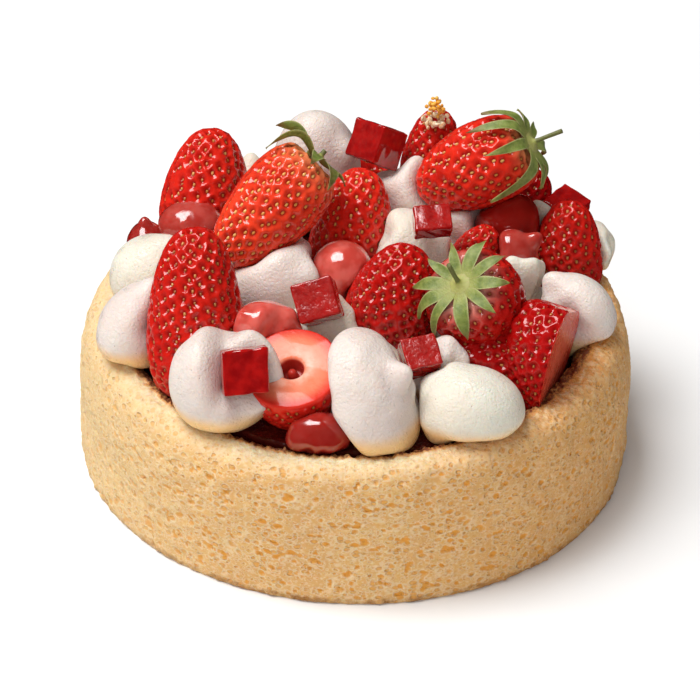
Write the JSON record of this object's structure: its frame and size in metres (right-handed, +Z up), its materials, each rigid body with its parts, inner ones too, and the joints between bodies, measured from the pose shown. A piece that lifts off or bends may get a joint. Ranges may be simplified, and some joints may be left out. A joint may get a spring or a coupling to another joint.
{
  "type": "strawberry fraisier",
  "caption": "Round ring cake of soft sponge with a straight wall and rounded rim, its recess heaped with piped creams, strawberries, jelly cubes and drops of berry gel.",
  "frame": {"origin": "middle of the flat base, on the surface that the cake stands on", "axes": "+Z up; +X to the right and +Y away from the viewer in the front view"},
  "size_m": [0.1614, 0.1606, 0.0968],
  "materials": {
    "sponge": "open pale yellow crumb with golden pores, matt",
    "compote": "dark red cooked berry compote, half gloss",
    "ivory_cream": "whipped ivory cream, satin with fine pores",
    "pink_cream": "whipped pale pink berry cream, satin with fine pores",
    "strawberry": "glossy red skin with pitted yellow seeds",
    "leaf": "soft green sepals with browned edges",
    "jelly": "dark red cut jelly, glossy with softened edges",
    "gel": "glossy translucent red berry gel",
    "blossom": "orange stamens and cream petals, matt"
  },
  "bodies": {
    "root": {"blossom": "blossom", "calyx_front_right": "leaf", "calyx_top_left": "leaf", "calyx_top_right": "leaf", "cream_back": "pink_cream", "cream_back_left": "pink_cream", "cream_far_right": "pink_cream", "cream_front_inner": "pink_cream", "cream_front_left": "pink_cream", "cream_front_middle": "pink_cream", "cream_front_right": "ivory_cream", "cream_inner_front": "ivory_cream", "cream_inner_left": "pink_cream", "cream_inner_middle": "pink_cream", "cream_inner_right": "pink_cream", "cream_left": "pink_cream", "cream_left_back": "ivory_cream", "cream_middle": "ivory_cream", "cream_middle_left": "pink_cream", "cream_middle_right": "ivory_cream", "cream_outer_left": "pink_cream", "cream_outer_right": "ivory_cream", "cream_rear_left": "ivory_cream", "cream_rear_middle": "pink_cream", "cream_rear_right": "ivory_cream", "cream_right": "ivory_cream", "cream_right_back": "ivory_cream", "filling": "compote", "gel_far_left": "gel", "gel_front": "gel", "gel_front_left": "gel", "gel_left_back": "gel", "gel_middle": "gel", "gel_right": "gel", "gel_right_back": "gel", "jelly_cube_back": "jelly", "jelly_cube_back_right": "jelly", "jelly_cube_front_left": "jelly", "jelly_cube_front_right": "jelly", "jelly_cube_middle": "jelly", "jelly_cube_right": "jelly", "sponge": "sponge", "strawberry_back": "strawberry", "strawberry_behind": "strawberry", "strawberry_cut_across": "strawberry", "strawberry_dark_back": "strawberry", "strawberry_front_right": "strawberry", "strawberry_half": "strawberry", "strawberry_left": "strawberry", "strawberry_left_back": "strawberry", "strawberry_low_right": "strawberry", "strawberry_middle": "strawberry", "strawberry_middle_back": "strawberry", "strawberry_right_back": "strawberry", "strawberry_small": "strawberry", "strawberry_top_left": "strawberry", "strawberry_top_right": "strawberry"}
  },
  "joints": []
}
